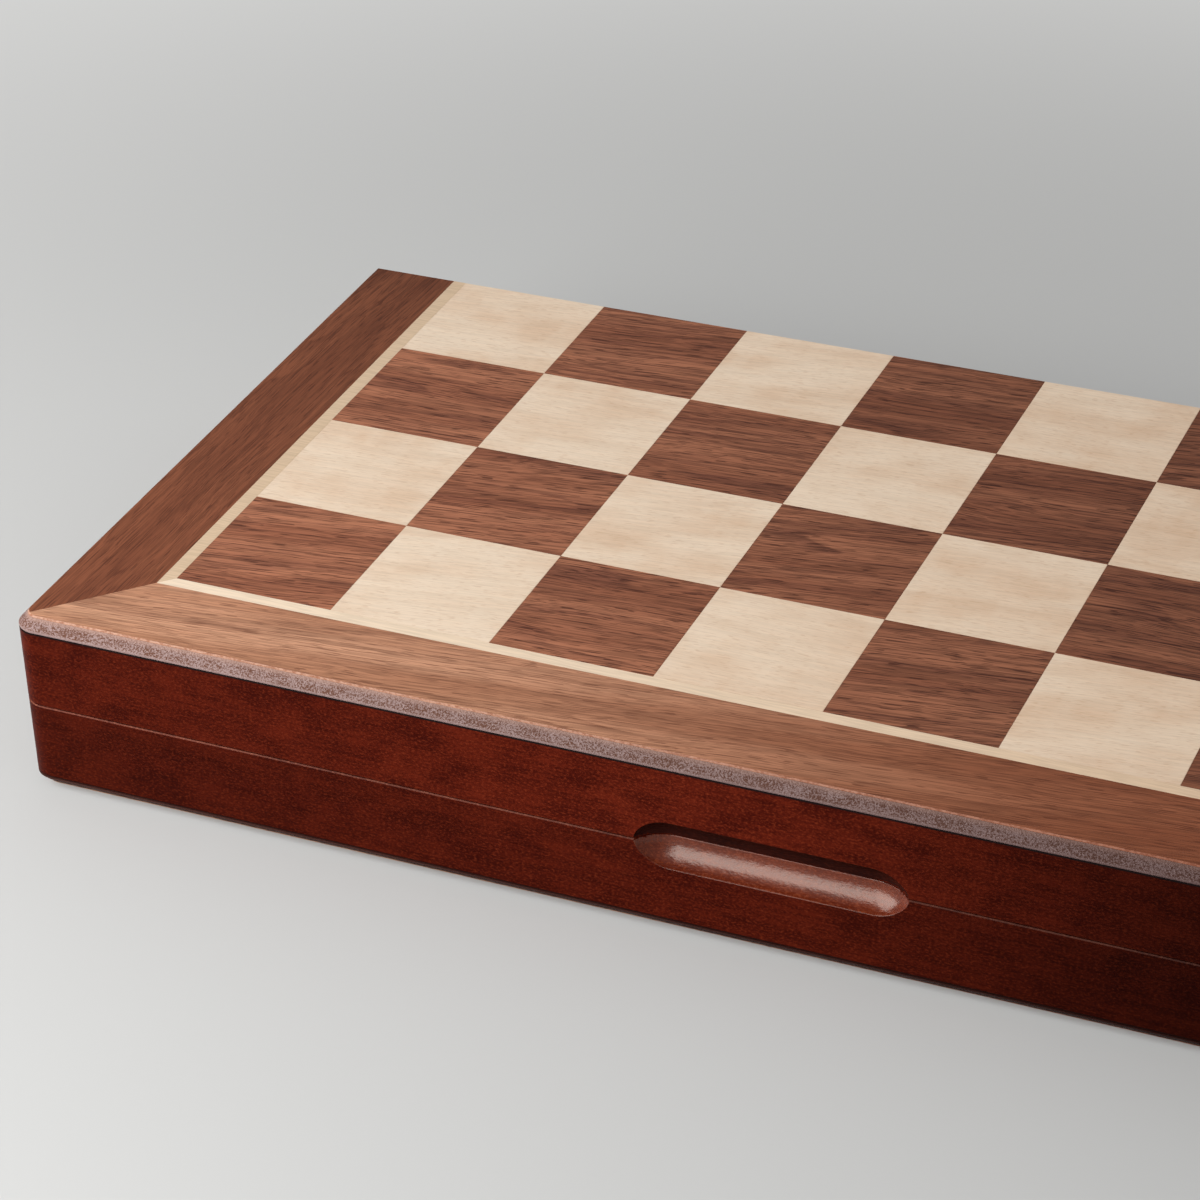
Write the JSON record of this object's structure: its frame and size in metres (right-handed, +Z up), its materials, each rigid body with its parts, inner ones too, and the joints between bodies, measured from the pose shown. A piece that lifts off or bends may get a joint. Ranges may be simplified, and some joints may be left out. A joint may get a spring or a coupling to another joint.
{
  "type": "chess and checkers set",
  "caption": "Folding wooden chess and checkers case: a checkered board on the outer faces, a finger recess, hinges at the back and a tray of turned pieces inside.",
  "frame": {"origin": "middle of the lower playing face, on which the shut case stands", "axes": "+X to the right along the front, +Y from the finger recess to the hinges, +Z up"},
  "size_m": [0.377, 0.1896, 0.0464],
  "materials": {
    "fibreboard": "bevelled fibreboard edge, stained and lacquered",
    "stained_frame": "red-brown stain under satin lacquer",
    "walnut_veneer": "satin lacquered veneer",
    "maple_veneer": "satin lacquered veneer",
    "hinge_brass": "polished brass",
    "magnet_nickel": "nickel plated",
    "green_flock": "flocked",
    "green_felt": "felt",
    "light_turned_wood": "satin lacquered turned wood",
    "dark_turned_wood": "satin lacquered turned wood"
  },
  "bodies": {
    "lower_case": {"dark_base_felts": "green_felt", "dark_bishop_1": "dark_turned_wood", "dark_bishop_2": "dark_turned_wood", "dark_checkers": "dark_turned_wood", "dark_king": "dark_turned_wood", "dark_knight_1": "dark_turned_wood", "dark_knight_2": "dark_turned_wood", "dark_pawns": "dark_turned_wood", "dark_queen": "dark_turned_wood", "dark_rook_1": "dark_turned_wood", "dark_rook_2": "dark_turned_wood", "left_hinge_lower_leaf": "hinge_brass", "left_hinge_pin": "hinge_brass", "light_base_felts": "green_felt", "light_bishop_1": "light_turned_wood", "light_bishop_2": "light_turned_wood", "light_checkers": "light_turned_wood", "light_king": "light_turned_wood", "light_knight_1": "light_turned_wood", "light_knight_2": "light_turned_wood", "light_pawns": "light_turned_wood", "light_queen": "light_turned_wood", "light_rook_1": "light_turned_wood", "light_rook_2": "light_turned_wood", "lower_border_front": "walnut_veneer", "lower_border_left": "walnut_veneer", "lower_border_right": "walnut_veneer", "lower_dark_squares": "walnut_veneer", "lower_hinge_screws": "hinge_brass", "lower_light_squares": "maple_veneer", "lower_magnet_left": "magnet_nickel", "lower_magnet_right": "magnet_nickel", "lower_panel_core": "fibreboard", "lower_stringing": "maple_veneer", "lower_wall_back": "stained_frame", "lower_wall_front": "stained_frame", "lower_wall_left": "stained_frame", "lower_wall_right": "stained_frame", "piece_tray": "green_flock", "right_hinge_lower_leaf": "hinge_brass", "right_hinge_pin": "hinge_brass"},
    "upper_case": {"left_hinge_upper_leaf": "hinge_brass", "lid_lining": "green_flock", "right_hinge_upper_leaf": "hinge_brass", "upper_border_front": "walnut_veneer", "upper_border_left": "walnut_veneer", "upper_border_right": "walnut_veneer", "upper_dark_squares": "walnut_veneer", "upper_hinge_screws": "hinge_brass", "upper_light_squares": "maple_veneer", "upper_magnet_left": "magnet_nickel", "upper_magnet_right": "magnet_nickel", "upper_panel_core": "fibreboard", "upper_stringing": "maple_veneer", "upper_wall_back": "stained_frame", "upper_wall_front": "stained_frame", "upper_wall_left": "stained_frame", "upper_wall_right": "stained_frame"}
  },
  "joints": [
    {"name": "lid_hinge", "type": "hinge", "parent": "lower_case", "child": "upper_case", "pos_m": [0, 0.0937, 0.0232], "axis": [-1, 0, 0], "range_deg": [0, 180]}
  ]
}
